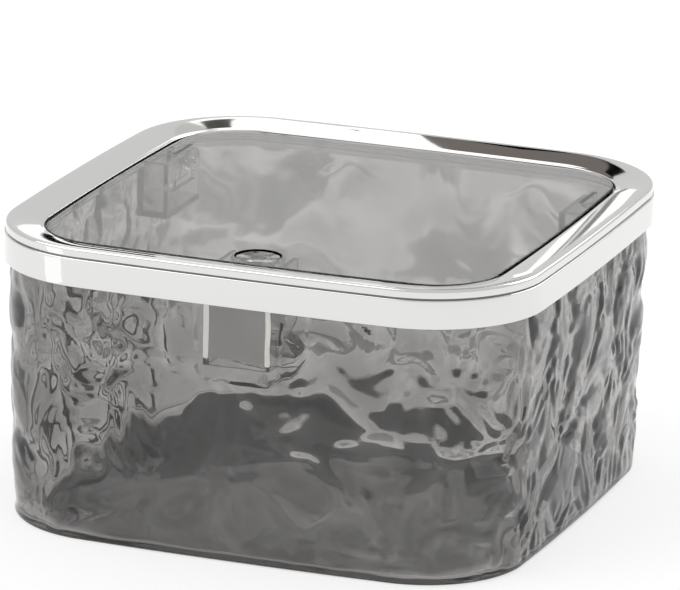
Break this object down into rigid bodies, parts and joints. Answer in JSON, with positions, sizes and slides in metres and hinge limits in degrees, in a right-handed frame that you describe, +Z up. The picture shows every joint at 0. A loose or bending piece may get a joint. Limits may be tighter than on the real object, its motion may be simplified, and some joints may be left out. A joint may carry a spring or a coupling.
{
  "type": "push top countertop bin",
  "caption": "Small square bin for a desk or worktop: rippled smoke-clear tub, plated rim, and a sprung flap that opens at a push on its round button.",
  "frame": {"origin": "centre of the tub's underside, on the surface it stands on", "axes": "+Z up, +Y towards the hinge side at the back, the button is at the front towards -Y, +X to the right seen from the front"},
  "size_m": [0.18, 0.18, 0.0964],
  "materials": {
    "smoke_tub": "glossy moulded smoke-clear plastic with a rippled water relief",
    "chrome_rim": "bright plated moulding",
    "steel_screws": "bright zinc plated steel",
    "smoke_frame": "glossy smoke-clear moulding",
    "smoke_flap": "glossy flat smoke-clear moulding",
    "smoke_arms": "glossy smoke-clear moulding",
    "steel_pins": "drawn steel wire",
    "spring_wire": "spring steel wire",
    "smoke_button": "glossy smoke-clear moulding with a finger dish",
    "catch_plastic": "moulded acetal",
    "smoke_cover": "glossy smoke-clear moulding"
  },
  "bodies": {
    "tub": {"bin_body": "smoke_tub"},
    "lid": {"chrome_rim": "chrome_rim", "rim_screws": "steel_screws", "lid_frame": "smoke_frame", "hinge_pin_left": "steel_pins", "hinge_pin_right": "steel_pins", "torsion_spring_left": "spring_wire", "torsion_spring_right": "spring_wire", "catch_pin": "steel_pins", "catch_spring": "spring_wire", "latch_cover": "smoke_cover", "cover_screws": "steel_screws"},
    "flap": {"flap_panel": "smoke_flap", "hinge_arm_left": "smoke_arms", "hinge_arm_right": "smoke_arms", "striker": "smoke_arms", "button_spring": "spring_wire"},
    "button": {"push_button": "smoke_button", "button_clip": "spring_wire"},
    "catch": {"catch": "catch_plastic"}
  },
  "joints": [
    {"name": "lid_lift", "type": "slide", "parent": "tub", "child": "lid", "axis": [0, 0, 1], "range_m": [0, 0.045]},
    {"name": "flap_hinge", "type": "hinge", "parent": "lid", "child": "flap", "pos_m": [0, 0.049, 0.0875], "axis": [-1, 0, 0], "range_deg": [0, 80], "deforming": ["torsion_spring_left", "torsion_spring_right"]},
    {"name": "button_press", "type": "slide", "parent": "flap", "child": "button", "axis": [0, 0, -1], "range_m": [0, 0.002], "stiffness_N_per_m": 400, "springref_m": -0.001, "deforming": ["button_spring"]},
    {"name": "catch_pivot", "type": "hinge", "parent": "lid", "child": "catch", "pos_m": [0, -0.076, 0.07], "axis": [-1, 0, 0], "range_deg": [0, 14.2], "deforming": ["catch_spring"]}
  ],
  "couplings": [
    {"joint": "catch_pivot", "follows": "button_press", "rad_per_m": 122.17}
  ]
}
